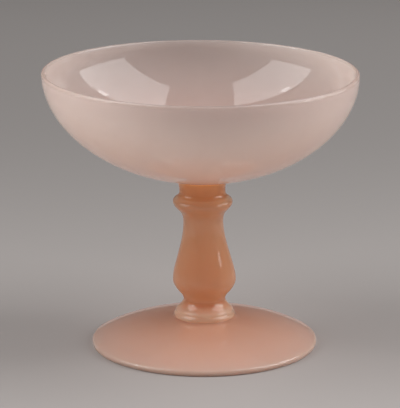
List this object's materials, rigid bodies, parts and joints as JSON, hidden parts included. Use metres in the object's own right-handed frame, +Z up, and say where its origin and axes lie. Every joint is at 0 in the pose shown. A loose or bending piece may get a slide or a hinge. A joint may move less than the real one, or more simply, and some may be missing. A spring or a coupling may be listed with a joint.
{
  "type": "candy dish",
  "caption": "Footed candy dish of pink opal glass: an open round bowl on a solid baluster stem and a spread round foot, for holding sweets on a table.",
  "frame": {"origin": "on the table, under the middle of the foot", "axes": "+Z up, along the axis that all the pieces are turned round; X and Y are alike"},
  "size_m": [0.172, 0.172, 0.153],
  "materials": {
    "bowl_glass": "glossy opal glass, pale pink where it is blown thin",
    "stem_glass": "glossy opal glass, deep peach where it is solid",
    "foot_glass": "glossy opal glass, rosy peach"
  },
  "bodies": {
    "root": {"bowl": "bowl_glass", "neck": "stem_glass", "stem": "stem_glass", "wafer": "foot_glass", "foot": "foot_glass"}
  },
  "joints": []
}
